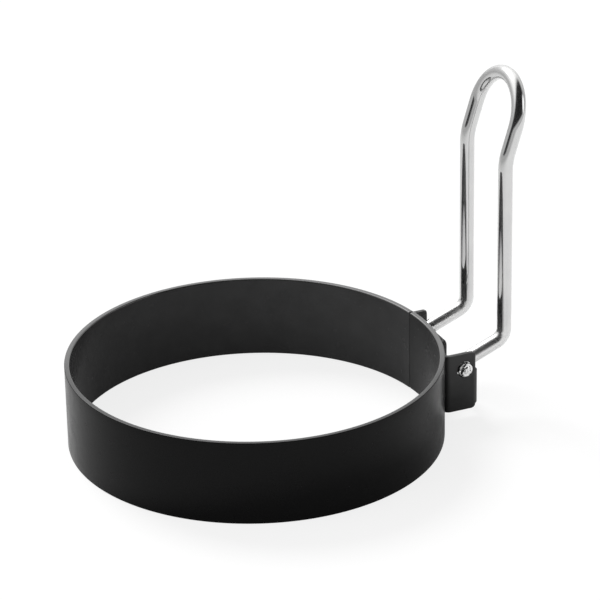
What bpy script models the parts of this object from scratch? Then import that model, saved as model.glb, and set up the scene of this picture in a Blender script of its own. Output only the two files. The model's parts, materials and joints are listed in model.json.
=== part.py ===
"""Egg ring with a folding wire handle.

Lengths are in metres and +Z is up. The ring stands on its lower rim, and the handle is
upright on its +X side. The origin is on the ground, midway along the length and width.
Three pieces: a rolled steel band, a folded sheet bracket welded to it, and a bent wire
handle whose two ends turn in the bracket's ears and whose arms rest on its lips.
"""
import math

import bmesh
import bpy
from mathutils import Matrix, Vector

# Band: a steel strip rolled into a ring, its ends butted behind the bracket
RING_DIAMETER = 0.0900
BAND_HEIGHT = 0.0205
BAND_THICKNESS = 0.0013
BAND_EDGE_RADIUS = 0.00035
SEAM_GAP = 0.0003
SEAM_ANGLE = math.radians(9.3)

# Bracket: one stamped blank, folded into a channel with two ears and two inward lips
SHEET_THICKNESS = 0.0010
SHEET_EDGE_RADIUS = 0.0002
FOLD_INNER_RADIUS = 0.0006
WELD_GAP = 0.0003
BRACKET_TOP_DROP = 0.0039
BRACKET_BOTTOM = 0.0018
EAR_NOSE = 0.00265
EAR_CORNER_RADIUS = 0.0009
LIP_STANDOFF = 0.0028
LIP_OPENING = 0.0084
LIP_BOTTOM_RELIEF = 0.0011
LIP_CORNER_RADIUS = 0.0010
NOTCH_RADIUS = 0.0003

# Hinge: the wire's ends in the holes of the ears
PIN_STANDOFF = 0.0038
PIN_DROP = 0.0041
PIN_CLEARANCE = 0.0003
PIN_PROTRUSION = 0.0005
EAR_CLEARANCE = 0.0003
STOP_CLEARANCE = 0.0003

# Handle: one length of round wire, bent in a symmetrical loop
WIRE_DIAMETER = 0.0035
LEG_SPACING = 0.0202
ELBOW_RADIUS = 0.0021
ARM_REACH = 0.0121
ARM_RISE = 0.00475
LOWER_BEND_RADIUS = 0.0035
LEG_HEIGHT = 0.0456
UPPER_BEND_RADIUS = 0.0160
NECK_LENGTH = 0.0082
NECK_TILT = math.radians(17.5)
WIRE_END_ROUND = 0.0006

# Fineness of the curves
BAND_STEPS = 120
EDGE_STEPS = 3
SHEET_EDGE_STEPS = 2
CORNER_STEPS = 4
BASE_STEPS = 10
FOLD_STEPS = 6
HOLE_SIDES = 40
BEND_STEPS = 8
HEAD_STEPS = 24
WIRE_END_STEPS = 4
WIRE_BEVEL_RESOLUTION = 8

SMOOTH_ANGLE = math.radians(32)
ROUND_PROFILE = 0.5

# Sizes that follow
RING_RADIUS = RING_DIAMETER / 2
WIRE_RADIUS = WIRE_DIAMETER / 2
HALF_LEG_SPACING = LEG_SPACING / 2
HALF_SHEET = SHEET_THICKNESS / 2
FOLD_RADIUS = FOLD_INNER_RADIUS + HALF_SHEET

BRACKET_TOP = BAND_HEIGHT - BRACKET_TOP_DROP
PIN_X = RING_RADIUS + PIN_STANDOFF
PIN_Z = BRACKET_TOP - PIN_DROP
HOLE_RADIUS = WIRE_RADIUS + PIN_CLEARANCE

EAR_INNER_Y = HALF_LEG_SPACING + ELBOW_RADIUS + EAR_CLEARANCE
EAR_MIDDLE_Y = EAR_INNER_Y + HALF_SHEET
EAR_OUTER_Y = EAR_INNER_Y + SHEET_THICKNESS
EAR_FRONT_X = PIN_X + EAR_NOSE
LIP_INNER_X = PIN_X + LIP_STANDOFF
LIP_BOTTOM = BRACKET_BOTTOM + LIP_BOTTOM_RELIEF

ARM_SLOPE = math.atan2(ARM_RISE, ARM_REACH)
ARM_DROP_TO_LIP = (WIRE_RADIUS + STOP_CLEARANCE) / math.cos(ARM_SLOPE)
LIP_TOP = PIN_Z + LIP_STANDOFF * math.tan(ARM_SLOPE) - ARM_DROP_TO_LIP

HEAD_REACH = (NECK_LENGTH + HALF_LEG_SPACING) * math.sin(NECK_TILT)
HANDLE_REACH = PIN_X + ARM_REACH + HEAD_REACH + WIRE_RADIUS
RING_CENTRE = Vector(((RING_RADIUS - HANDLE_REACH) / 2, 0, 0))


def clear_scene():
    """Start from an empty scene."""
    for item in list(bpy.data.objects):
        bpy.data.objects.remove(item, do_unlink=True)


def make_material(name, colour, metallic, roughness):
    """A plain Principled material."""
    material = bpy.data.materials.new(name)
    material.use_nodes = True
    shader = material.node_tree.nodes["Principled BSDF"]
    shader.inputs["Base Color"].default_value = (*colour, 1)
    shader.inputs["Metallic"].default_value = metallic
    shader.inputs["Roughness"].default_value = roughness
    return material


def rounded_path(corners, radii, steps, closed):
    """Straight runs between corners, with each inner corner turned by an arc of its radius."""
    points = []
    last = len(corners) - 1
    for index, (corner, radius) in enumerate(zip(corners, radii)):
        if not closed and index in (0, last):
            points.append(corner)
            continue
        back = (corners[index - 1] - corner).normalized()
        ahead = (corners[(index + 1) % len(corners)] - corner).normalized()
        half_angle = back.angle(ahead) / 2
        centre = corner + (back + ahead).normalized() * (radius / math.sin(half_angle))
        tangent = radius / math.tan(half_angle)
        start = corner + back * tangent - centre
        end = corner + ahead * tangent - centre
        axis = start.cross(end)
        for step in range(steps + 1):
            turn = Matrix.Rotation(start.angle(end) * step / steps, 3, axis)
            points.append(centre + turn @ start)
    return points


def link_mesh(bm, name, material):
    """Turn a bmesh into a smooth-shaded object of the scene."""
    bmesh.ops.recalc_face_normals(bm, faces=bm.faces)
    mesh = bpy.data.meshes.new(name)
    bm.to_mesh(mesh)
    bm.free()
    mesh.shade_smooth()
    mesh.set_sharp_from_angle(angle=SMOOTH_ANGLE)
    mesh.materials.append(material)
    piece = bpy.data.objects.new(name, mesh)
    bpy.context.scene.collection.objects.link(piece)
    return piece


def loop_edges(bm, points):
    """A closed loop of edges through the points."""
    verts = [bm.verts.new(point) for point in points]
    return verts, [bm.edges.new((a, b)) for a, b in zip(verts, verts[1:] + verts[:1])]


def make_band(material):
    """The strip's cross-section turned almost once round, closed at both ends of the seam."""
    inner = RING_RADIUS - BAND_THICKNESS
    corners = [
        Vector((inner, 0, 0)),
        Vector((RING_RADIUS, 0, 0)),
        Vector((RING_RADIUS, 0, BAND_HEIGHT)),
        Vector((inner, 0, BAND_HEIGHT)),
    ]
    section = rounded_path(corners, [BAND_EDGE_RADIUS] * len(corners), EDGE_STEPS, closed=True)
    gap_angle = SEAM_GAP / RING_RADIUS
    to_seam = Matrix.Rotation(SEAM_ANGLE + gap_angle / 2, 3, "Z")

    bm = bmesh.new()
    verts, edges = loop_edges(bm, [to_seam @ point for point in section])
    turned = bmesh.ops.spin(
        bm, geom=verts + edges, cent=(0, 0, 0), axis=(0, 0, 1),
        angle=math.tau - gap_angle, steps=BAND_STEPS, use_duplicate=False,
    )
    last_edges = [part for part in turned["geom_last"] if isinstance(part, bmesh.types.BMEdge)]
    for end in (edges, last_edges):
        bmesh.ops.edgeloop_fill(bm, edges=end)
    band = link_mesh(bm, "ring_band", material)
    band.location = RING_CENTRE
    return band


def channel_runs():
    """The folded blank in plan, from its middle to one lip's end: length, curvature and cuts.

    It starts along the band, turns away into the ear, and turns again into the lip.
    """
    base_radius = RING_RADIUS + WELD_GAP + HALF_SHEET
    base_angle = math.asin((EAR_MIDDLE_Y - FOLD_RADIUS) / (base_radius + FOLD_RADIUS))
    ear_start = (base_radius + FOLD_RADIUS) * math.cos(base_angle)
    ear_end = LIP_INNER_X + HALF_SHEET - FOLD_RADIUS
    quarter = math.pi / 2
    return [
        (base_radius * base_angle, 1 / base_radius, BASE_STEPS),
        (FOLD_RADIUS * (quarter + base_angle), -1 / FOLD_RADIUS, FOLD_STEPS),
        (ear_end - ear_start, 0, 1),
        (FOLD_RADIUS * quarter, -1 / FOLD_RADIUS, FOLD_STEPS),
        (EAR_MIDDLE_Y - FOLD_RADIUS - LIP_OPENING / 2, 0, 1),
    ], base_radius, ear_end


def fold_point(distance, offset, runs, base_radius):
    """Plan position of a point of the blank, by its distance from the middle and its depth."""
    position = Vector((base_radius, 0))
    heading = math.pi / 2
    remaining = abs(distance)
    for length, curvature, _ in runs:
        step = min(remaining, length)
        if curvature:
            centre = position + Vector((-math.sin(heading), math.cos(heading))) / curvature
            heading += step * curvature
            position = centre - Vector((-math.sin(heading), math.cos(heading))) / curvature
        else:
            position = position + Vector((math.cos(heading), math.sin(heading))) * step
        remaining -= step
    position = position + Vector((math.sin(heading), -math.cos(heading))) * offset
    return position.x, math.copysign(position.y, distance)


def blank_outline(ear_front, lip_end):
    """The flat blank's outline, X along the strip and Z up: base, two ears and two lips."""
    half = [
        (lip_end, LIP_BOTTOM, LIP_CORNER_RADIUS),
        (lip_end, LIP_TOP, LIP_CORNER_RADIUS),
        (ear_front, LIP_TOP, NOTCH_RADIUS),
        (ear_front, BRACKET_TOP, EAR_CORNER_RADIUS),
    ]
    foot = [
        (ear_front, BRACKET_BOTTOM, EAR_CORNER_RADIUS),
        (ear_front, LIP_BOTTOM, NOTCH_RADIUS),
    ]
    right = foot + half
    left = [(-x, z, radius) for x, z, radius in reversed(right)]
    corners = [Vector((x, 0, z)) for x, z, _ in right + left]
    return rounded_path(corners, [radius for _, _, radius in right + left], CORNER_STEPS, closed=True)


def make_hole_cutter():
    """A round bar across both ears, wide enough for the wire to turn in its hole."""
    bm = bmesh.new()
    across = Matrix.Rotation(math.pi / 2, 4, "X")
    bmesh.ops.create_cone(
        bm, cap_ends=True, segments=HOLE_SIDES, radius1=HOLE_RADIUS, radius2=HOLE_RADIUS,
        depth=(EAR_OUTER_Y + SHEET_THICKNESS) * 2, matrix=across,
    )
    mesh = bpy.data.meshes.new("hole_cutter")
    bm.to_mesh(mesh)
    bm.free()
    cutter = bpy.data.objects.new("hole_cutter", mesh)
    bpy.context.scene.collection.objects.link(cutter)
    cutter.location = RING_CENTRE + Vector((PIN_X, 0, PIN_Z))
    cutter.hide_render = True
    cutter.display_type = "WIRE"
    return cutter


def make_bracket(material):
    """A flat blank with rounded edges, cut at its fold lines and bent along the channel."""
    runs, base_radius, ear_end = channel_runs()
    run_ends = [sum(length for length, _, _ in runs[:index + 1]) for index in range(len(runs))]
    ear_front = run_ends[2] + EAR_FRONT_X - ear_end

    bm = bmesh.new()
    verts, _ = loop_edges(bm, blank_outline(ear_front, run_ends[-1]))
    back = bm.faces.new(verts)
    bmesh.ops.translate(bm, verts=verts, vec=(0, -HALF_SHEET, 0))
    grown = bmesh.ops.extrude_face_region(bm, geom=[back], use_keep_orig=True)
    grown_verts = [part for part in grown["geom"] if isinstance(part, bmesh.types.BMVert)]
    front = next(part for part in grown["geom"] if isinstance(part, bmesh.types.BMFace))
    bmesh.ops.translate(bm, verts=grown_verts, vec=(0, SHEET_THICKNESS, 0))
    rims = list({edge for face in (back, front) for edge in face.edges})
    bmesh.ops.bevel(
        bm, geom=rims, offset=SHEET_EDGE_RADIUS, offset_type="OFFSET",
        segments=SHEET_EDGE_STEPS, profile=ROUND_PROFILE, affect="EDGES", clamp_overlap=True,
    )

    for (length, _, cuts), end in zip(runs, run_ends):
        for cut in range(cuts + 1):
            distance = end - length * cut / cuts
            for side in (-1, 1):
                bmesh.ops.bisect_plane(
                    bm, geom=bm.verts[:] + bm.edges[:] + bm.faces[:],
                    plane_co=(side * distance, 0, 0), plane_no=(1, 0, 0),
                )
    for vert in bm.verts:
        x, y = fold_point(vert.co.x, vert.co.y, runs, base_radius)
        vert.co = (x, y, vert.co.z)

    bracket = link_mesh(bm, "hinge_bracket", material)
    bracket.location = RING_CENTRE
    holes = bracket.modifiers.new("pin_holes", "BOOLEAN")
    holes.operation = "DIFFERENCE"
    holes.solver = "EXACT"
    holes.object = make_hole_cutter()
    return bracket


def wire_path():
    """The wire's centre line about the hinge axis: pin, arm, leg and neck, head, and back."""
    tilt = Vector((math.sin(NECK_TILT), 0, math.cos(NECK_TILT)))
    sideways = Vector((0, HALF_LEG_SPACING, 0))
    lower = Vector((ARM_REACH, 0, ARM_RISE))
    upper = lower + Vector((0, 0, LEG_HEIGHT))
    head = upper + tilt * NECK_LENGTH
    pin_end = Vector((0, EAR_OUTER_Y + PIN_PROTRUSION, 0))
    corners = [pin_end, sideways, lower + sideways, upper + sideways, head + sideways]
    radii = [0, ELBOW_RADIUS, LOWER_BEND_RADIUS, UPPER_BEND_RADIUS, 0]
    side = rounded_path(corners, radii, BEND_STEPS, closed=False)
    arch = []
    for step in range(1, HEAD_STEPS):
        angle = math.pi * step / HEAD_STEPS
        arch.append(head + sideways * math.cos(angle) + tilt * (HALF_LEG_SPACING * math.sin(angle)))
    mirrored = [Vector((point.x, -point.y, point.z)) for point in reversed(side)]
    return side + arch + mirrored


def rounded_end(path):
    """Points and thickness shares that round off the wire's first end over a short length."""
    inward = (path[1] - path[0]).normalized()
    points = []
    for step in range(WIRE_END_STEPS):
        angle = math.pi / 2 * (step + 1) / (WIRE_END_STEPS + 1)
        depth = WIRE_END_ROUND * (1 - math.cos(angle))
        shrink = WIRE_END_ROUND * (1 - math.sin(angle))
        points.append((path[0] + inward * depth, 1 - shrink / WIRE_RADIUS))
    return points + [(path[0] + inward * WIRE_END_ROUND, 1)]


def make_handle(material):
    """A round bevelled curve on the wire's path, its origin on the hinge axis."""
    path = wire_path()
    start = rounded_end(path)
    end = rounded_end(path[::-1])
    stations = start + [(point, 1) for point in path[1:-1]] + end[::-1]

    curve = bpy.data.curves.new("wire_handle", "CURVE")
    curve.dimensions = "3D"
    curve.bevel_depth = WIRE_RADIUS
    curve.bevel_resolution = WIRE_BEVEL_RESOLUTION
    curve.use_fill_caps = True
    spline = curve.splines.new("POLY")
    spline.points.add(len(stations) - 1)
    for place, (point, share) in zip(spline.points, stations):
        place.co = (*point, 1)
        place.radius = share
    spline.use_smooth = True
    curve.materials.append(material)
    handle = bpy.data.objects.new("wire_handle", curve)
    bpy.context.scene.collection.objects.link(handle)
    handle.location = RING_CENTRE + Vector((PIN_X, 0, PIN_Z))
    return handle


def main():
    clear_scene()
    coating = make_material("black_coating", (0.020, 0.020, 0.022), 0, 0.42)
    bracket_coating = make_material("bracket_coating", (0.016, 0.016, 0.017), 0, 0.50)
    chrome = make_material("bright_wire", (0.78, 0.78, 0.77), 1, 0.12)
    make_band(coating)
    make_bracket(bracket_coating)
    make_handle(chrome)


main()
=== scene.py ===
"""The looks of an egg ring: a black coated band, its folded bracket and a chromed wire handle.

Lengths are in metres, angles in radians and noise scales in cells per metre. Azimuths of the
studio turn to the right from the side that the photograph was taken from.
"""
import json
import math

import bmesh
import bpy
from mathutils import Matrix, Vector, noise


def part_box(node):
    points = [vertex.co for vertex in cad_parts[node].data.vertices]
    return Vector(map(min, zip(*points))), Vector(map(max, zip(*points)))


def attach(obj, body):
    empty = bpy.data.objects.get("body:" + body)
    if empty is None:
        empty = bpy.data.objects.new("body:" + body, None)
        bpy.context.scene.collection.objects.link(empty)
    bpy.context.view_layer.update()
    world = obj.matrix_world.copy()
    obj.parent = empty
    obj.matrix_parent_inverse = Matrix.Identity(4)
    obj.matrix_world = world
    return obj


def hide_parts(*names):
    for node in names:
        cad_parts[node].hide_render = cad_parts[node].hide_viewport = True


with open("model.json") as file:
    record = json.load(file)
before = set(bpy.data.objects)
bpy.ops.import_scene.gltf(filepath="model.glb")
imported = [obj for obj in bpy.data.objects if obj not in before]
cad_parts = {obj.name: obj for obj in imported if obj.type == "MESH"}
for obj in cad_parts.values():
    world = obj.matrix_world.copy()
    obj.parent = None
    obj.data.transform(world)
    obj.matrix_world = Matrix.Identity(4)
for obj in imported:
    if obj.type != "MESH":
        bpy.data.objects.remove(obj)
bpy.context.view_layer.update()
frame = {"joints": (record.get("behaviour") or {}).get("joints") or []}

# Places and sizes read from the frame
band_low, band_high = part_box("ring_band")
bracket_low, bracket_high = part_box("hinge_bracket")
hinge = Vector(frame["joints"][0]["pos_m"])

RING_RADIUS = (band_high.y - band_low.y) / 2
BAND_HEIGHT = band_high.z
RING_CENTRE = Vector((band_low.x + RING_RADIUS, 0, 0))
BRACKET_TOP = bracket_high.z
BRACKET_BOTTOM = bracket_low.z
EAR_OUTER_Y = bracket_high.y
LIP_OUTER_X = bracket_high.x - RING_CENTRE.x
PIN_X = hinge.x - RING_CENTRE.x
PIN_Z = hinge.z

# Band
BAND_THICKNESS = 0.0013
OUTER_EDGE_RADIUS = 0.00018
INNER_EDGE_RADIUS = 0.00040
SEAM_GAP = 0.00001
SEAM_ANGLE = math.radians(7.7)
SEAM_CORNER_RADIUS = 0.00045
SEAM_CORNER_STEPS = 6
SEAM_FLAT_LENGTH = 0.0060
SEAM_FLAT_DEPTH = 0.00005
BAND_WAVE = 0.00003
BAND_WAVE_SCALE = 1.7
BAND_STEPS = 540
BAND_EDGE_STEPS = 6
BAND_WALL_ROWS = 10

# Bracket
SHEET_THICKNESS = 0.0010
SHEET_EDGE_RADIUS = 0.00022
SHEET_EDGE_STEPS = 4
ROUND_PROFILE = 0.5
FOLD_INNER_RADIUS = 0.0006
WELD_GAP = 0.00003
EAR_NOSE = 0.00265
EAR_CORNER_RADIUS = 0.0009
LIP_OPENING = 0.0084
LIP_BOTTOM_RELIEF = 0.0011
LIP_CORNER_RADIUS = 0.0010
NOTCH_RADIUS = 0.0003
PIN_CLEARANCE = 0.0003
STOP_CLEARANCE = 0.0003
FOLD_STEPS = 14
BASE_STEPS = 26
CORNER_STEPS = 10
HOLE_SIDES = 72
CUTTER_REACH = 3

# Wire
WIRE_DIAMETER = 0.0035
WIRE_INSET = 0.000003
LEG_SPACING = 0.0202
ELBOW_RADIUS = 0.0021
ARM_REACH = 0.0121
ARM_RISE = 0.00475
LOWER_BEND_RADIUS = 0.0035
LEG_HEIGHT = 0.0456
UPPER_BEND_RADIUS = 0.0160
NECK_LENGTH = 0.0082
NECK_TILT = math.radians(17.5)
PIN_PROTRUSION = 0.0005

# Cropped wire ends, in radii of the wire
END_SEEDS = (3.1, 7.7)
END_DOME = 0.14
END_DENT = 0.17
END_DENT_SCALE = 2.6
END_DENT_FADE = 6
TEAR_SLOPE = 0.70
TEAR_UP = 0.3
TEAR_RIGHT = 0.95
TEAR_EDGE = 0.22
TEAR_RAGGED = 0.42
TEAR_SCALE = 3.4
TEAR_SHIFT = Vector((5, 5, 5))
NICK_DEPTH = 0.16
NICK_WIDTH = 0.13
NICK_RIGHT = 0.55
NICK_UP = 0.83
NICK_OFFSET = 0.30
NICK_START = 0.15
CAP_SHARES = (
    0.05, 0.14, 0.22, 0.30, 0.38, 0.46, 0.54, 0.62,
    0.69, 0.76, 0.82, 0.88, 0.93, 0.965, 0.985,
)

# Fineness of the wire
WIRE_SIDES = 64
WIRE_STATION = 0.0008
BEND_STEPS = 20
HEAD_STEPS = 96

WIRE_RADIUS = WIRE_DIAMETER / 2 - WIRE_INSET
HALF_LEG_SPACING = LEG_SPACING / 2

# Camera, fitted to the photograph: focal length and frame in pixels, the rest in metres
PHOTO_WIDTH_PIXELS = 600
PHOTO_FOCAL_PIXELS = 3216.7
SENSOR_WIDTH_MM = 36
VIEW_AZIMUTH = math.radians(-23.294)
VIEW_ELEVATION = math.radians(24.867)
VIEW_ROLL = math.radians(1.097)
VIEW_DISTANCE = 0.7542
AIM_RIGHT = 0.010992
AIM_HEIGHT = 0.034823

# Angles below which neighbouring faces are shaded as one surface
SMOOTH_ANGLE = math.radians(40)
WIRE_SMOOTH_ANGLE = math.radians(60)

# Coatings of the band and the bracket
MOTTLE_STOPS = (0.30, 0.70)
MOTTLE_DETAIL = 4
BAND_MOTTLE_SCALE = 160
BRACKET_MOTTLE_SCALE = 260
PATCH_SCALE = 420
PATCH_DETAIL = 3
BAND_ROUGHNESS = (0.20, 0.28)
BRACKET_ROUGHNESS = (0.40, 0.52)
GRAIN_SCALE = 5200
PEEL_SCALE = 1300
SKIN_DETAIL = 2
SKIN_SHARE = 0.5
SKIN_STRENGTH = 0.25
SKIN_DEPTH = 0.00003
RIM_COAT_ROUGHNESS = 0.12
RIM_COAT_IOR = 1.66
COATING_SPECULAR = 0.12
BRACKET_SPECULAR = 0.45
RIM_FADE = 0.00042
# Painted shade: the rims' coat sheen is cut about this azimuth; the zone is given in cosines
SHADED_RIM_AZIMUTH = math.radians(-23.294)
SHADED_RIM = (-0.12, 0.36)
SHADED_RIM_LOSS = 0.5
# Painted shade: the inside darkens towards the strip's end, a shading step beside the seam
SEAM_SHADE = (0.64, 0.64, 0.64)
SEAM_SHADE_LENGTH = 0.030
OUTSIDE_DARK = (0.0026, 0.0026, 0.0027)
OUTSIDE_LIGHT = (0.0036, 0.0036, 0.0037)
# Painted light: the inside is lifted far above the outside's black, standing in for light thrown
# back inside the ring
INSIDE_DARK = (0.061, 0.061, 0.0614)
INSIDE_LIGHT = (0.074, 0.074, 0.0744)
RIM_DARK = (0.026, 0.026, 0.026)
RIM_LIGHT = (0.038, 0.038, 0.038)
# Painted shade: the bracket's colours at its bottom edge, darker than those at its top
BRACKET_SHADED_DARK = (0.0150, 0.0150, 0.0152)
BRACKET_SHADED_LIGHT = (0.0210, 0.0210, 0.0212)
BRACKET_DARK = (0.0460, 0.0460, 0.0462)
BRACKET_LIGHT = (0.0560, 0.0560, 0.0562)

# Chrome of the wire
CHROME_COAT_ROUGHNESS = 0.38
CHROME_COAT_IOR = 1.75
HAZE_SCALE = 260
HAZE_DETAIL = 3
CHROME_DARK = (0.61, 0.61, 0.61)
CHROME_LIGHT = (0.66, 0.66, 0.655)
# Near the hinge: scuffed, and brighter as painted light that lifts a dark reflection on the arms
SCUFFED_AND_LIT_DARK = (0.77, 0.77, 0.77)
SCUFFED_AND_LIT_LIGHT = (0.83, 0.83, 0.825)
CHROME_ROUGHNESS = (0.045, 0.10)
CHROME_ROUGH_STOPS = (0.35, 0.75)
DRAWN_STRETCH = (1, 1, 0.02)
DRAWN_SCALE = 5000
DRAWN_DETAIL = 2
DRAWN_STRENGTH = 0.06
DRAWN_DEPTH = 0.00002
CHROME_METALLIC = 0.97
PIN_REACH = (0.003, 0.006)
WORN_AND_LIT_REACH = (0.015, 0.021)
WORN_ROUGHNESS = (0.24, 0.31)
WORN_SCATTER = 0.10
CROPPED_REACH = 0.0003
CROPPED_COLOUR = (0.88, 0.88, 0.875)

# Floor, as the camera sees it and as reflections do
FLOOR_DEPTH = 0.00005
FLOOR_ROUGHNESS = 0.9
FLOOR_HALF = 6.0
FLOOR_COLOUR = 0.24
FLOOR_GLOW = 0.80
FLOOR_COLOUR_REFLECTED = 0.95
FLOOR_GLOW_REFLECTED = 0.05
# Painted pool of light: reflections see the floor dimmer away from this place
POOL_OFFSET = 0.40
POOL_RADII = (0.30, 0.80)
POOL_EDGE = 0.50

# Studio: what reflections see, and the two lamps. An axis is an azimuth and an elevation, and
# an edge the cosines from that axis between which a part of the room fades in.
AMBIENT = 0.40
WALL_LEVEL = 0.62
SWEEP_LEVEL = 1.0
SWEEP_AXIS = (math.pi, 0)
SWEEP_EDGE = (0.80, 0.92)
CEILING_LEVEL = 1.40
CEILING_ELEVATIONS = (math.radians(4), math.radians(48))
ROOM_LEVEL = 0.008
ROOM_SIDE_AXIS = (math.radians(37.4), math.radians(-20.8))
ROOM_SIDE_EDGE = (-0.608, -0.282)
ROOM_OPENING_AXIS = (math.radians(143), math.radians(-8))
ROOM_OPENING_EDGE = (0.375, 1.0)
ROOM_FLOOR_AXIS = (math.radians(-145), math.radians(79))
ROOM_FLOOR_EDGE = (-0.08, 0.06)
KEY_AZIMUTH = math.radians(-147)
KEY_ELEVATION = math.radians(48)
KEY_SPREAD = (math.radians(8), math.radians(24))
KEY_SHINE = 3.0
KEY_LAMP_ELEVATION = math.radians(44)
KEY_WIDTH = math.radians(30)
KEY_STRENGTH = 2.31
SIDE_AZIMUTH = math.radians(-72)
SIDE_ELEVATION = math.radians(22)
SIDE_WIDTH = math.radians(50)
SIDE_STRENGTH = 0.75
FILL_AZIMUTH = math.radians(84)
FILL_ELEVATION = math.radians(21)
FILL_SPREAD = (math.radians(8), math.radians(21))
FILL_SHINE = 1.5


def smooth_object(bm, name, angle=SMOOTH_ANGLE):
    """A smooth-shaded object made from a bmesh."""
    bmesh.ops.recalc_face_normals(bm, faces=bm.faces)
    mesh = bpy.data.meshes.new(name)
    bm.to_mesh(mesh)
    bm.free()
    mesh.shade_smooth()
    mesh.set_sharp_from_angle(angle=angle)
    piece = bpy.data.objects.new(name, mesh)
    bpy.context.scene.collection.objects.link(piece)
    return piece


def rounded_path(corners, radii, steps, closed):
    """Straight runs between corners, with each inner corner turned by an arc of its radius."""
    points = []
    last = len(corners) - 1
    for index, (corner, radius) in enumerate(zip(corners, radii)):
        if not closed and index in (0, last):
            points.append(corner)
            continue
        back = (corners[index - 1] - corner).normalized()
        ahead = (corners[(index + 1) % len(corners)] - corner).normalized()
        half_angle = back.angle(ahead) / 2
        centre = corner + (back + ahead).normalized() * (radius / math.sin(half_angle))
        tangent = radius / math.tan(half_angle)
        start = corner + back * tangent - centre
        end = corner + ahead * tangent - centre
        axis = start.cross(end)
        for step in range(steps + 1):
            turn = Matrix.Rotation(start.angle(end) * step / steps, 3, axis)
            points.append(centre + turn @ start)
    return points


def join_rings(bm, rings):
    """Faces from each ring of vertices to the next, and a cap on the first and the last."""
    for ring, following in zip(rings, rings[1:]):
        for index in range(len(ring)):
            other = (index + 1) % len(ring)
            bm.faces.new((ring[index], ring[other], following[other], following[index]))
    bm.faces.new(rings[0])
    bm.faces.new(rings[-1])


def finer(points, spacing, closed=False):
    """The same path with straight runs cut to at most the spacing."""
    result = []
    pairs = zip(points, points[1:] + points[:1]) if closed else zip(points, points[1:])
    for start, end in pairs:
        cuts = max(1, math.ceil((end - start).length / spacing))
        result += [start.lerp(end, cut / cuts) for cut in range(cuts)]
    return result if closed else result + [points[-1]]


# Materials

def nodes_of(material):
    """The node tree of a new material and its Principled shader."""
    material.use_nodes = True
    tree = material.node_tree
    return tree, tree.nodes["Principled BSDF"]


def add(tree, kind, **values):
    """A node with its properties and inputs set by name."""
    node = tree.nodes.new(kind)
    for name, value in values.items():
        if name in node.inputs:
            node.inputs[name].default_value = value
        else:
            setattr(node, name, value)
    return node


def feed(tree, value, socket):
    """Link an output to the socket, or set the socket's own value."""
    if isinstance(value, bpy.types.NodeSocket):
        tree.links.new(value, socket)
    else:
        socket.default_value = value


def arithmetic(tree, operation, first, second):
    """A Math node on two values, each a number or a socket."""
    node = add(tree, "ShaderNodeMath", operation=operation)
    for socket, value in zip(node.inputs, (first, second)):
        feed(tree, value, socket)
    return node.outputs[0]


def vector_node(tree, operation, vector, other=None):
    """A Vector Math node on a socket and, where it takes one, a fixed vector."""
    node = add(tree, "ShaderNodeVectorMath", operation=operation)
    tree.links.new(vector, node.inputs[0])
    if other is not None:
        node.inputs[1].default_value = other
    return node


def height_of(tree, place):
    """The Z of a position."""
    node = add(tree, "ShaderNodeSeparateXYZ")
    tree.links.new(place, node.inputs["Vector"])
    return node.outputs["Z"]


def noise_node(tree, vector, scale, detail):
    """A noise texture on the given coordinates."""
    node = add(tree, "ShaderNodeTexNoise", Scale=scale, Detail=detail)
    tree.links.new(vector, node.inputs["Vector"])
    return node.outputs["Fac"]


def ramp(tree, factor, low, high, stops=MOTTLE_STOPS):
    """A grey or a colour that goes from low to high between the factor's two stops."""
    node = tree.nodes.new("ShaderNodeValToRGB")
    for element, place, colour in zip(node.color_ramp.elements, stops, (low, high)):
        element.position = place
        rgb = (colour,) * 3 if isinstance(colour, float) else colour
        element.color = (*rgb, 1)
    tree.links.new(factor, node.inputs["Fac"])
    return node.outputs["Color"]


def zone(tree, value, start, end):
    """Zero before the start and one past the end of a value, with a smooth step between."""
    step = add(tree, "ShaderNodeMapRange", interpolation_type="SMOOTHSTEP")
    step.inputs["From Min"].default_value = start
    step.inputs["From Max"].default_value = end
    tree.links.new(value, step.inputs["Value"])
    return step.outputs["Result"]


def scaled(tree, share, low, high):
    """A value that goes from low to high as the share goes from 0 to 1."""
    node = add(tree, "ShaderNodeMapRange")
    tree.links.new(share, node.inputs["Value"])
    feed(tree, low, node.inputs["To Min"])
    feed(tree, high, node.inputs["To Max"])
    return node.outputs["Result"]


def mixed(tree, factor, first, second):
    """A value between the first and the second; each may be a number or a socket."""
    node = add(tree, "ShaderNodeMix", data_type="FLOAT")
    for name, value in (("Factor", factor), ("A", first), ("B", second)):
        feed(tree, value, node.inputs[name])
    return node.outputs["Result"]


def blend(tree, factor, first, second, blend_type="MIX"):
    """A colour between the first and the second; each may be a colour or a socket."""
    mix = add(tree, "ShaderNodeMix", data_type="RGBA", blend_type=blend_type)
    feed(tree, factor, mix.inputs["Factor"])
    for name, colour in (("A", first), ("B", second)):
        socket = next(part for part in mix.inputs if part.name == name and part.type == "RGBA")
        feed(tree, (*colour, 1) if isinstance(colour, tuple) else colour, socket)
    return next(part for part in mix.outputs if part.type == "RGBA")


def towards(tree, where, aim):
    """The cosine of the angle between a direction and an aim."""
    return vector_node(tree, "DOT_PRODUCT", where, aim).outputs["Value"]


def set_bump(tree, shader, height, strength, depth):
    """A bump from the height on the shader's normal."""
    bump = add(tree, "ShaderNodeBump", Strength=strength, Distance=depth)
    tree.links.new(height, bump.inputs["Height"])
    tree.links.new(bump.outputs["Normal"], shader.inputs["Normal"])


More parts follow.
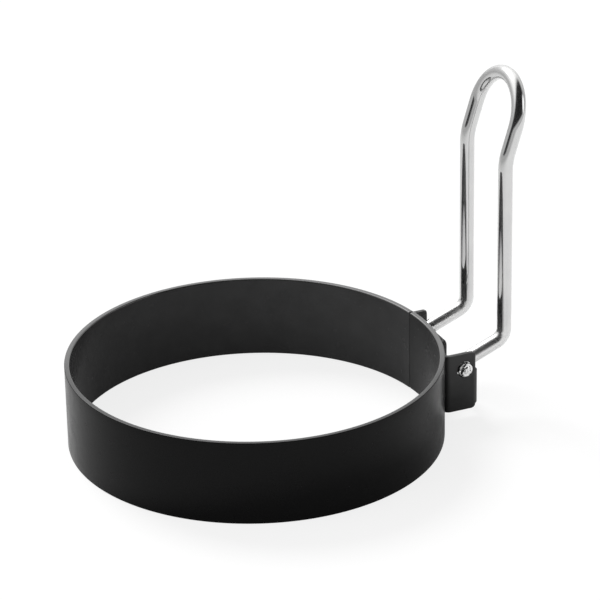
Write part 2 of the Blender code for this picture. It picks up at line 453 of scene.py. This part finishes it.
def coating_finish(tree, place, shader, roughness, specular):
    """Patches of more and less gloss, and the fine grain of a sprayed and baked coating."""
    patches = noise_node(tree, place, PATCH_SCALE, PATCH_DETAIL)
    tree.links.new(ramp(tree, patches, *roughness), shader.inputs["Roughness"])
    grain = noise_node(tree, place, GRAIN_SCALE, SKIN_DETAIL)
    peel = noise_node(tree, place, PEEL_SCALE, SKIN_DETAIL)
    set_bump(tree, shader, mixed(tree, SKIN_SHARE, grain, peel), SKIN_STRENGTH, SKIN_DEPTH)
    shader.inputs["Specular IOR Level"].default_value = specular


def band_material():
    """Black non-stick coating with painted light and shade: lighter grey inside the ring, darker
    beside the seam, less sheen on the front rim; rubbed to a satin grey along the rims.
    """
    material = bpy.data.materials.new("band_coating")
    tree, shader = nodes_of(material)
    place = add(tree, "ShaderNodeTexCoord").outputs["Object"]
    mottle = noise_node(tree, place, BAND_MOTTLE_SCALE, MOTTLE_DETAIL)
    outside = ramp(tree, mottle, OUTSIDE_DARK, OUTSIDE_LIGHT)
    # Painted light: the inner wall's lighter grey
    inside = ramp(tree, mottle, INSIDE_DARK, INSIDE_LIGHT)
    rim = ramp(tree, mottle, RIM_DARK, RIM_LIGHT)

    # The walls: inside, lifted to a light grey as painted light and darkened towards the strip's
    # end as painted shade; and outside
    from_axis = vector_node(tree, "SUBTRACT", place, RING_CENTRE).outputs["Vector"]
    flat = vector_node(tree, "MULTIPLY", from_axis, (1, 1, 0)).outputs["Vector"]
    radius = vector_node(tree, "LENGTH", flat).outputs["Value"]
    middle = RING_RADIUS - BAND_THICKNESS / 2
    outward = zone(tree, radius, middle - RIM_FADE, middle + RIM_FADE)
    to_end = add(tree, "ShaderNodeAttribute", attribute_name="to_end").outputs["Fac"]
    # Painted shade beside the seam, fading over its length from the strip's end
    seam_shade = blend(tree, zone(tree, to_end, 0, SEAM_SHADE_LENGTH), SEAM_SHADE, (1, 1, 1))
    seam_shaded_inside = blend(tree, 1, inside, seam_shade, "MULTIPLY")
    wall = blend(tree, outward, seam_shaded_inside, outside)

    # The rims: rubbed, with painted shade taking part of their sheen off the front side
    height = height_of(tree, place)
    top = zone(tree, height, BAND_HEIGHT - RIM_FADE, BAND_HEIGHT - RIM_FADE / 3)
    bottom = zone(tree, height, RIM_FADE, RIM_FADE / 3)
    outer = (RING_RADIUS - OUTER_EDGE_RADIUS / 2, RING_RADIUS - OUTER_EDGE_RADIUS)
    inboard = zone(tree, radius, *outer)
    rubbed = arithmetic(tree, "MULTIPLY", arithmetic(tree, "MAXIMUM", top, bottom), inboard)
    tree.links.new(blend(tree, rubbed, wall, rim), shader.inputs["Base Color"])
    front = Vector((math.sin(SHADED_RIM_AZIMUTH), -math.cos(SHADED_RIM_AZIMUTH), 0))
    facing = towards(tree, flat, front / RING_RADIUS)
    # Painted shade: less coat on the rims that face this azimuth
    rim_shade = arithmetic(tree, "MULTIPLY", zone(tree, facing, *SHADED_RIM), SHADED_RIM_LOSS)
    sheen = arithmetic(tree, "MULTIPLY", rubbed, arithmetic(tree, "SUBTRACT", 1.0, rim_shade))
    tree.links.new(sheen, shader.inputs["Coat Weight"])
    shader.inputs["Coat Roughness"].default_value = RIM_COAT_ROUGHNESS
    shader.inputs["Coat IOR"].default_value = RIM_COAT_IOR
    coating_finish(tree, place, shader, BAND_ROUGHNESS, COATING_SPECULAR)
    return material


def bracket_material():
    """The same black coating on the folded sheet, duller, and with painted shade darker towards its
    lower edge.
    """
    material = bpy.data.materials.new("bracket_coating")
    tree, shader = nodes_of(material)
    place = add(tree, "ShaderNodeTexCoord").outputs["Object"]
    mottle = noise_node(tree, place, BRACKET_MOTTLE_SCALE, MOTTLE_DETAIL)
    low = ramp(tree, mottle, BRACKET_SHADED_DARK, BRACKET_SHADED_LIGHT)
    high = ramp(tree, mottle, BRACKET_DARK, BRACKET_LIGHT)
    # Painted shade: darker towards the bottom edge
    rise = zone(tree, height_of(tree, place), BRACKET_BOTTOM, BRACKET_TOP)
    tree.links.new(blend(tree, rise, low, high), shader.inputs["Base Color"])
    coating_finish(tree, place, shader, BRACKET_ROUGHNESS, BRACKET_SPECULAR)
    return material


def chrome_material():
    """Bright chrome with haze and drawn lines; near the hinge scuffed, and brighter as painted
    light; bare where it is cropped.
    """
    material = bpy.data.materials.new("wire_chrome")
    tree, shader = nodes_of(material)
    shader.inputs["Coat Weight"].default_value = 1
    shader.inputs["Coat Roughness"].default_value = CHROME_COAT_ROUGHNESS
    shader.inputs["Coat IOR"].default_value = CHROME_COAT_IOR
    straight = add(tree, "ShaderNodeAttribute", attribute_name="straight").outputs["Vector"]
    from_end = add(tree, "ShaderNodeAttribute", attribute_name="from_end").outputs["Fac"]
    haze = noise_node(tree, straight, HAZE_SCALE, HAZE_DETAIL)
    after_pin = zone(tree, from_end, *PIN_REACH)
    before_leg = zone(tree, from_end, WORN_AND_LIT_REACH[1], WORN_AND_LIT_REACH[0])
    worn_and_lit = arithmetic(tree, "MULTIPLY", after_pin, before_leg)

    rough = ramp(tree, haze, *CHROME_ROUGHNESS, stops=CHROME_ROUGH_STOPS)
    worn_rough = ramp(tree, haze, *WORN_ROUGHNESS)
    tree.links.new(blend(tree, worn_and_lit, rough, worn_rough), shader.inputs["Roughness"])
    # Near the hinge the chrome is worn rougher, and brighter and less metallic as painted light
    bright = ramp(tree, haze, CHROME_DARK, CHROME_LIGHT)
    scuffed_and_lit = ramp(tree, haze, SCUFFED_AND_LIT_DARK, SCUFFED_AND_LIT_LIGHT)
    cropped = zone(tree, from_end, CROPPED_REACH, 0)
    colour = blend(tree, cropped, blend(tree, worn_and_lit, bright, scuffed_and_lit), CROPPED_COLOUR)
    tree.links.new(colour, shader.inputs["Base Color"])
    scatter = arithmetic(tree, "MULTIPLY", worn_and_lit, WORN_SCATTER)
    metallic = arithmetic(tree, "SUBTRACT", CHROME_METALLIC, scatter)
    tree.links.new(metallic, shader.inputs["Metallic"])

    stretch = add(tree, "ShaderNodeMapping")
    stretch.inputs["Scale"].default_value = DRAWN_STRETCH
    tree.links.new(straight, stretch.inputs["Vector"])
    lines = noise_node(tree, stretch.outputs["Vector"], DRAWN_SCALE, DRAWN_DETAIL)
    set_bump(tree, shader, lines, DRAWN_STRENGTH, DRAWN_DEPTH)
    return material


# Band

def band_section():
    """The strip's cross-section, cut finely round its edges and along its walls."""
    inner = RING_RADIUS - BAND_THICKNESS
    corners = [
        Vector((inner, 0, 0)),
        Vector((RING_RADIUS, 0, 0)),
        Vector((RING_RADIUS, 0, BAND_HEIGHT)),
        Vector((inner, 0, BAND_HEIGHT)),
    ]
    radii = [INNER_EDGE_RADIUS, OUTER_EDGE_RADIUS, OUTER_EDGE_RADIUS, INNER_EDGE_RADIUS]
    outline = rounded_path(corners, radii, BAND_EDGE_STEPS, closed=True)
    return finer(outline, BAND_HEIGHT / BAND_WALL_ROWS, closed=True)


def band_offset(angle):
    """How far the rolled strip strays from a true circle: a slow wave, and a flat at one of its
    ends.
    """
    around = Vector((math.cos(angle), math.sin(angle), 0))
    wave = BAND_WAVE * (noise.noise(around * BAND_WAVE_SCALE) - 1)
    arc = min(angle, math.tau - angle) * RING_RADIUS
    flat = SEAM_FLAT_DEPTH * math.exp(-arc / SEAM_FLAT_LENGTH)
    return wave - (flat if angle < math.pi else 0)


def band_angles():
    """Angles of the strip's stations from its seam, closer together at its rounded corners."""
    start = SEAM_GAP / RING_RADIUS / 2
    corner = SEAM_CORNER_RADIUS / RING_RADIUS
    near = [start + corner * step / SEAM_CORNER_STEPS for step in range(SEAM_CORNER_STEPS)]
    span = math.tau - 2 * (start + corner)
    middle = [start + corner + span * step / BAND_STEPS for step in range(BAND_STEPS + 1)]
    return near + middle + [math.tau - angle for angle in reversed(near)]


def corner_drop(angle):
    """How much the strip's rounded corners take off its height beside the seam."""
    arc = (min(angle, math.tau - angle) - SEAM_GAP / RING_RADIUS / 2) * RING_RADIUS
    inward = max(0.0, SEAM_CORNER_RADIUS - arc)
    return SEAM_CORNER_RADIUS - math.sqrt(max(0.0, SEAM_CORNER_RADIUS ** 2 - inward ** 2))


def make_band():
    """The strip bent round from one side of its seam to the other."""
    section = band_section()
    bm = bmesh.new()
    to_end = bm.verts.layers.float.new("to_end")
    middle = BAND_HEIGHT / 2
    rings = []
    for angle in band_angles():
        outward = Vector((math.cos(angle + SEAM_ANGLE), math.sin(angle + SEAM_ANGLE), 0))
        reach = band_offset(angle)
        kept = 1 - 2 * corner_drop(angle) / BAND_HEIGHT
        ring = []
        for point in section:
            rise = Vector((0, 0, middle + (point.z - middle) * kept))
            vert = bm.verts.new(RING_CENTRE + outward * (point.x + reach) + rise)
            vert[to_end] = (math.tau - angle) * RING_RADIUS
            ring.append(vert)
        rings.append(ring)
    join_rings(bm, rings)
    return smooth_object(bm, "band_strip")


# Bracket

def channel_runs():
    """The folded blank in plan, from its middle to one lip's end: length, curvature and cuts."""
    half_sheet = SHEET_THICKNESS / 2
    fold_radius = FOLD_INNER_RADIUS + half_sheet
    ear_y = EAR_OUTER_Y - half_sheet
    base_radius = RING_RADIUS + WELD_GAP + half_sheet
    base_angle = math.asin((ear_y - fold_radius) / (base_radius + fold_radius))
    ear_start = (base_radius + fold_radius) * math.cos(base_angle)
    ear_end = LIP_OUTER_X - half_sheet - fold_radius
    quarter = math.pi / 2
    runs = [
        (base_radius * base_angle, 1 / base_radius, BASE_STEPS),
        (fold_radius * (quarter + base_angle), -1 / fold_radius, FOLD_STEPS),
        (ear_end - ear_start, 0, 1),
        (fold_radius * quarter, -1 / fold_radius, FOLD_STEPS),
        (ear_y - fold_radius - LIP_OPENING / 2, 0, 1),
    ]
    return runs, base_radius, ear_end


def fold_point(distance, offset, runs, base_radius):
    """Plan position of a point of the blank, by its distance from the middle and its depth."""
    position = Vector((base_radius, 0))
    heading = math.pi / 2
    remaining = abs(distance)
    for length, curvature, _ in runs:
        step = min(remaining, length)
        if curvature:
            centre = position + Vector((-math.sin(heading), math.cos(heading))) / curvature
            heading += step * curvature
            position = centre - Vector((-math.sin(heading), math.cos(heading))) / curvature
        else:
            position = position + Vector((math.cos(heading), math.sin(heading))) * step
        remaining -= step
    position = position + Vector((math.sin(heading), -math.cos(heading))) * offset
    return position.x, math.copysign(position.y, distance)


def blank_outline(ear_front, lip_end):
    """The flat blank's outline: base, two ears and two lips, with every corner rounded."""
    slope = math.atan2(ARM_RISE, ARM_REACH)
    standoff = LIP_OUTER_X - SHEET_THICKNESS - PIN_X
    drop = (WIRE_RADIUS + STOP_CLEARANCE) / math.cos(slope)
    lip_top = PIN_Z + standoff * math.tan(slope) - drop
    lip_bottom = BRACKET_BOTTOM + LIP_BOTTOM_RELIEF
    right = [
        (ear_front, BRACKET_BOTTOM, EAR_CORNER_RADIUS),
        (ear_front, lip_bottom, NOTCH_RADIUS),
        (lip_end, lip_bottom, LIP_CORNER_RADIUS),
        (lip_end, lip_top, LIP_CORNER_RADIUS),
        (ear_front, lip_top, NOTCH_RADIUS),
        (ear_front, BRACKET_TOP, EAR_CORNER_RADIUS),
    ]
    left = [(-x, z, radius) for x, z, radius in reversed(right)]
    corners = [Vector((x, 0, z)) for x, z, _ in right + left]
    radii = [radius for _, _, radius in right + left]
    return rounded_path(corners, radii, CORNER_STEPS, closed=True)


def make_bracket():
    """The blank with rounded edges, folded into a channel and cut by the two pin holes."""
    runs, base_radius, ear_end = channel_runs()
    run_ends = [sum(length for length, _, _ in runs[:index + 1]) for index in range(len(runs))]
    ear_front = run_ends[2] + PIN_X + EAR_NOSE - ear_end
    half_sheet = SHEET_THICKNESS / 2

    bm = bmesh.new()
    verts = [bm.verts.new(point) for point in blank_outline(ear_front, run_ends[-1])]
    back = bm.faces.new(verts)
    bmesh.ops.translate(bm, verts=verts, vec=(0, -half_sheet, 0))
    grown = bmesh.ops.extrude_face_region(bm, geom=[back], use_keep_orig=True)
    grown_verts = [part for part in grown["geom"] if isinstance(part, bmesh.types.BMVert)]
    front = next(part for part in grown["geom"] if isinstance(part, bmesh.types.BMFace))
    bmesh.ops.translate(bm, verts=grown_verts, vec=(0, SHEET_THICKNESS, 0))
    rims = list({edge for face in (back, front) for edge in face.edges})
    bmesh.ops.bevel(
        bm, geom=rims, offset=SHEET_EDGE_RADIUS, offset_type="OFFSET",
        segments=SHEET_EDGE_STEPS, profile=ROUND_PROFILE, affect="EDGES", clamp_overlap=True,
    )
    for (length, _, cuts), end in zip(runs, run_ends):
        for cut in range(cuts + 1):
            distance = end - length * cut / cuts
            for side in (-1, 1):
                bmesh.ops.bisect_plane(
                    bm, geom=bm.verts[:] + bm.edges[:] + bm.faces[:],
                    plane_co=(side * distance, 0, 0), plane_no=(1, 0, 0),
                )
    for vert in bm.verts:
        x, y = fold_point(vert.co.x, vert.co.y, runs, base_radius)
        vert.co = RING_CENTRE + Vector((x, y, vert.co.z))
    bracket = smooth_object(bm, "bracket_sheet")

    cutter_bm = bmesh.new()
    across = Matrix.Translation(hinge) @ Matrix.Rotation(math.pi / 2, 4, "X")
    hole_radius = WIRE_RADIUS + PIN_CLEARANCE
    bmesh.ops.create_cone(
        cutter_bm, cap_ends=True, segments=HOLE_SIDES, radius1=hole_radius, radius2=hole_radius,
        depth=EAR_OUTER_Y * CUTTER_REACH, matrix=across,
    )
    cutter = smooth_object(cutter_bm, "hole_cutter")
    holes = bracket.modifiers.new("pin_holes", "BOOLEAN")
    holes.operation = "DIFFERENCE"
    holes.solver = "EXACT"
    holes.object = cutter
    apply_modifiers(bracket)
    bpy.data.objects.remove(cutter)
    bracket.data.set_sharp_from_angle(angle=SMOOTH_ANGLE)
    return bracket


def apply_modifiers(piece):
    """Replace an object's mesh with its evaluated one."""
    depsgraph = bpy.context.evaluated_depsgraph_get()
    made = bpy.data.meshes.new_from_object(piece.evaluated_get(depsgraph))
    piece.modifiers.clear()
    piece.data = made


# Wire

def wire_path():
    """The wire's centre line: pin, elbow, arm, leg, neck and head, and the same back again."""
    tilt = Vector((math.sin(NECK_TILT), 0, math.cos(NECK_TILT)))
    sideways = Vector((0, HALF_LEG_SPACING, 0))
    lower = Vector((ARM_REACH, 0, ARM_RISE))
    upper = lower + Vector((0, 0, LEG_HEIGHT))
    head = upper + tilt * NECK_LENGTH
    pin_end = Vector((0, EAR_OUTER_Y + PIN_PROTRUSION, 0))
    corners = [pin_end, sideways, lower + sideways, upper + sideways, head + sideways]
    radii = [0, ELBOW_RADIUS, LOWER_BEND_RADIUS, UPPER_BEND_RADIUS, 0]
    side = rounded_path(corners, radii, BEND_STEPS, closed=False)
    arch = []
    for step in range(1, HEAD_STEPS):
        angle = math.pi * step / HEAD_STEPS
        arch.append(head + sideways * math.cos(angle) + tilt * (HALF_LEG_SPACING * math.sin(angle)))
    mirrored = [Vector((point.x, -point.y, point.z)) for point in reversed(side)]
    return [hinge + point for point in finer(side + arch + mirrored, WIRE_STATION)]


def transported_frames(path):
    """A tangent and two cross directions at each point of the path, turned as little as can be."""
    tangents = []
    for index in range(len(path)):
        before = path[max(index - 1, 0)]
        after = path[min(index + 1, len(path) - 1)]
        tangents.append((after - before).normalized())
    side = tangents[0].orthogonal().normalized()
    frames = []
    for tangent in tangents:
        side = (side - tangent * side.dot(tangent)).normalized()
        frames.append((tangent, side, tangent.cross(side)))
    return frames


def end_height(right, up, seed):
    """Height of the cropped end, in radii: a dented dome, torn down on one side and nicked."""
    share = min(1.0, math.hypot(right, up))
    place = Vector((right, up, seed))
    dome = END_DOME * math.sqrt(1 - share * share)
    dents = END_DENT * noise.noise(place * END_DENT_SCALE) * (1 - share ** END_DENT_FADE)
    ragged = TEAR_RAGGED * noise.noise(place * TEAR_SCALE + TEAR_SHIFT)
    torn = max(0.0, TEAR_UP * up - TEAR_RIGHT * right - TEAR_EDGE - ragged)
    across_nick = (NICK_RIGHT * right + NICK_UP * up + NICK_OFFSET) / NICK_WIDTH
    nick = NICK_DEPTH * math.exp(-across_nick ** 2) * max(0.0, right - NICK_START)
    return dome + dents - TEAR_SLOPE * torn - nick


def make_wire():
    """A round section swept along the path, with the cropped ends closed over it."""
    path = wire_path()
    frames = transported_frames(path)
    bm = bmesh.new()
    straight = bm.verts.layers.float_vector.new("straight")
    from_end = bm.verts.layers.float.new("from_end")
    total = sum((after - before).length for before, after in zip(path, path[1:]))

    def ring(point, frame_here, share, distance, lift=None):
        tangent, side, over = frame_here
        reach = WIRE_RADIUS * share
        made = []
        for index in range(WIRE_SIDES):
            angle = math.tau * index / WIRE_SIDES
            across = side * math.cos(angle) + over * math.sin(angle)
            rise = tangent * (lift(across * share) * WIRE_RADIUS) if lift else Vector()
            vert = bm.verts.new(point + across * reach + rise)
            vert[straight] = (reach * math.cos(angle), reach * math.sin(angle), distance)
            vert[from_end] = min(distance, total - distance)
            made.append(vert)
        return made

    rings = [
        ring(path[0], frames[0], share, 0.0, lambda at: -end_height(at.x, at.z, END_SEEDS[0]))
        for share in CAP_SHARES
    ]
    along = 0.0
    previous = path[0]
    for point, frame_here in zip(path, frames):
        along += (point - previous).length
        previous = point
        rings.append(ring(point, frame_here, 1.0, along))
    rings += [
        ring(path[-1], frames[-1], share, along, lambda at: end_height(at.x, at.z, END_SEEDS[1]))
        for share in reversed(CAP_SHARES)
    ]
    join_rings(bm, rings)
    return smooth_object(bm, "wire_loop", WIRE_SMOOTH_ANGLE)


# Stage, light and camera

def view_axes():
    """Unit vectors of the photograph's view: to the right and away along the ground."""
    away = Vector((-math.sin(VIEW_AZIMUTH), math.cos(VIEW_AZIMUTH), 0))
    right = Vector((math.cos(VIEW_AZIMUTH), math.sin(VIEW_AZIMUTH), 0))
    return right, away


def make_camera():
    """The photograph's camera, aimed over the ring and turned a little about its view."""
    right, away = view_axes()
    aim = RING_CENTRE + right * AIM_RIGHT + Vector((0, 0, AIM_HEIGHT))
    looking = away * math.cos(VIEW_ELEVATION) - Vector((0, 0, math.sin(VIEW_ELEVATION)))
    data = bpy.data.cameras.new("photo_camera")
    data.sensor_width = SENSOR_WIDTH_MM
    data.lens = PHOTO_FOCAL_PIXELS / PHOTO_WIDTH_PIXELS * SENSOR_WIDTH_MM
    data.clip_start = VIEW_DISTANCE / 10
    data.clip_end = VIEW_DISTANCE * 100
    camera = bpy.data.objects.new("photo_camera", data)
    camera.rotation_mode = "QUATERNION"
    camera.location = aim - looking * VIEW_DISTANCE
    level = looking.to_track_quat("-Z", "Y")
    camera.rotation_quaternion = level @ Matrix.Rotation(-VIEW_ROLL, 3, "Z").to_quaternion()
    bpy.context.scene.collection.objects.link(camera)
    bpy.context.scene.camera = camera


def ray_kinds(tree):
    """Whether a ray comes from a reflection, and whether it comes from there or the camera."""
    rays = tree.nodes.new("ShaderNodeLightPath").outputs
    mirrored = arithmetic(tree, "MAXIMUM", rays["Is Glossy Ray"], rays["Is Transmission Ray"])
    seen = arithmetic(tree, "MAXIMUM", rays["Is Camera Ray"], mirrored)
    return mirrored, seen


def make_floor():
    """A floor, plain to the camera: mostly a white glow, with the shadow; lit to reflections, which
    also see a painted pool of light beside the object.
    """
    bm = bmesh.new()
    bmesh.ops.create_grid(bm, x_segments=1, y_segments=1, size=FLOOR_HALF)
    mesh = bpy.data.meshes.new("floor")
    bm.to_mesh(mesh)
    bm.free()
    floor = bpy.data.objects.new("floor", mesh)
    floor.location = (0, 0, -FLOOR_DEPTH)
    bpy.context.scene.collection.objects.link(floor)
    material = bpy.data.materials.new("floor_white")
    tree, shader = nodes_of(material)
    shader.inputs["Roughness"].default_value = FLOOR_ROUGHNESS
    shader.inputs["Specular IOR Level"].default_value = 0
    shader.inputs["Emission Color"].default_value = (1, 1, 1, 1)
    mirrored, seen = ray_kinds(tree)
    colour = scaled(tree, mirrored, FLOOR_COLOUR, FLOOR_COLOUR_REFLECTED)
    place = add(tree, "ShaderNodeTexCoord").outputs["Object"]
    # Painted pool of light, seen only in reflections
    pool_centre = RING_CENTRE + view_axes()[0] * POOL_OFFSET
    apart = vector_node(tree, "DISTANCE", place, pool_centre).outputs["Value"]
    outside_pool = arithmetic(tree, "MULTIPLY", zone(tree, apart, *POOL_RADII), mirrored)
    dimmer = arithmetic(tree, "MULTIPLY", outside_pool, 1 - POOL_EDGE)
    lit = arithmetic(tree, "SUBTRACT", 1.0, dimmer)
    shade = arithmetic(tree, "MULTIPLY", colour, lit)
    tree.links.new(shade, shader.inputs["Base Color"])
    level = scaled(tree, mirrored, FLOOR_GLOW, FLOOR_GLOW_REFLECTED)
    glow = arithmetic(tree, "MULTIPLY", seen, level)
    tree.links.new(glow, shader.inputs["Emission Strength"])
    mesh.materials.append(material)


def direction(azimuth, elevation):
    """A unit vector towards a place in the studio."""
    right, away = view_axes()
    level = right * math.sin(azimuth) - away * math.cos(azimuth)
    return level * math.cos(elevation) + Vector((0, 0, math.sin(elevation)))


def soft_box(tree, where, azimuth, elevation, spread, shine):
    """The soft round patch that a light shows in reflections."""
    facing = towards(tree, where, direction(azimuth, elevation))
    patch = zone(tree, facing, math.cos(spread[1]), math.cos(spread[0]))
    return arithmetic(tree, "MULTIPLY", patch, shine)


def make_world():
    """White to the camera. Reflections see a backdrop, a dim room with an opening, and lights."""
    world = bpy.data.worlds.new("studio")
    bpy.context.scene.world = world
    world.use_nodes = True
    tree = world.node_tree
    background = tree.nodes["Background"]
    background.inputs["Color"].default_value = (1, 1, 1, 1)
    mirrored, seen = ray_kinds(tree)
    where = add(tree, "ShaderNodeTexCoord").outputs["Generated"]

    def beyond(axis, edge):
        return zone(tree, towards(tree, where, direction(*axis)), *edge)

    side = beyond(ROOM_SIDE_AXIS, ROOM_SIDE_EDGE)
    above = beyond(ROOM_FLOOR_AXIS, ROOM_FLOOR_EDGE)
    closed = arithmetic(tree, "SUBTRACT", 1.0, beyond(ROOM_OPENING_AXIS, ROOM_OPENING_EDGE))
    room = arithmetic(tree, "MULTIPLY", arithmetic(tree, "MULTIPLY", side, above), closed)

    height = towards(tree, where, Vector((0, 0, 1)))
    ceiling = zone(tree, height, *(math.sin(elevation) for elevation in CEILING_ELEVATIONS))
    wall = scaled(tree, beyond(SWEEP_AXIS, SWEEP_EDGE), WALL_LEVEL, SWEEP_LEVEL)
    backdrop = scaled(tree, ceiling, wall, CEILING_LEVEL)
    studio = mixed(tree, room, backdrop, ROOM_LEVEL)
    key = soft_box(tree, where, KEY_AZIMUTH, KEY_ELEVATION, KEY_SPREAD, KEY_SHINE)
    fill = soft_box(tree, where, FILL_AZIMUTH, FILL_ELEVATION, FILL_SPREAD, FILL_SHINE)
    reflected = arithmetic(tree, "ADD", studio, arithmetic(tree, "ADD", key, fill))

    plain = scaled(tree, seen, AMBIENT, 1.0)
    shown = mixed(tree, mirrored, plain, reflected)
    tree.links.new(shown, background.inputs["Strength"])


def soft_light(name, azimuth, elevation, spread, strength):
    """A wide, distant soft light from a place in the studio."""
    data = bpy.data.lights.new(name, "SUN")
    data.angle = spread
    data.energy = strength
    lamp = bpy.data.objects.new(name, data)
    lamp.visible_glossy = False
    lamp.rotation_mode = "QUATERNION"
    lamp.location = direction(azimuth, elevation)
    lamp.rotation_quaternion = direction(azimuth, elevation).to_track_quat("Z", "Y")
    bpy.context.scene.collection.objects.link(lamp)


make_camera()
make_floor()
make_world()
soft_light("key", KEY_AZIMUTH, KEY_LAMP_ELEVATION, KEY_WIDTH, KEY_STRENGTH)
soft_light("side", SIDE_AZIMUTH, SIDE_ELEVATION, SIDE_WIDTH, SIDE_STRENGTH)

band_coating = band_material()
bracket_coating = bracket_material()
chrome = chrome_material()

band = make_band()
band.data.materials.append(band_coating)
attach(band, "ring")
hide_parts("ring_band")

bracket = make_bracket()
bracket.data.materials.clear()
bracket.data.materials.append(bracket_coating)
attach(bracket, "ring")
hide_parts("hinge_bracket")

wire = make_wire()
wire.data.materials.append(chrome)
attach(wire, "handle")
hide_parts("wire_handle")

bpy.context.scene.view_settings.view_transform = "Standard"
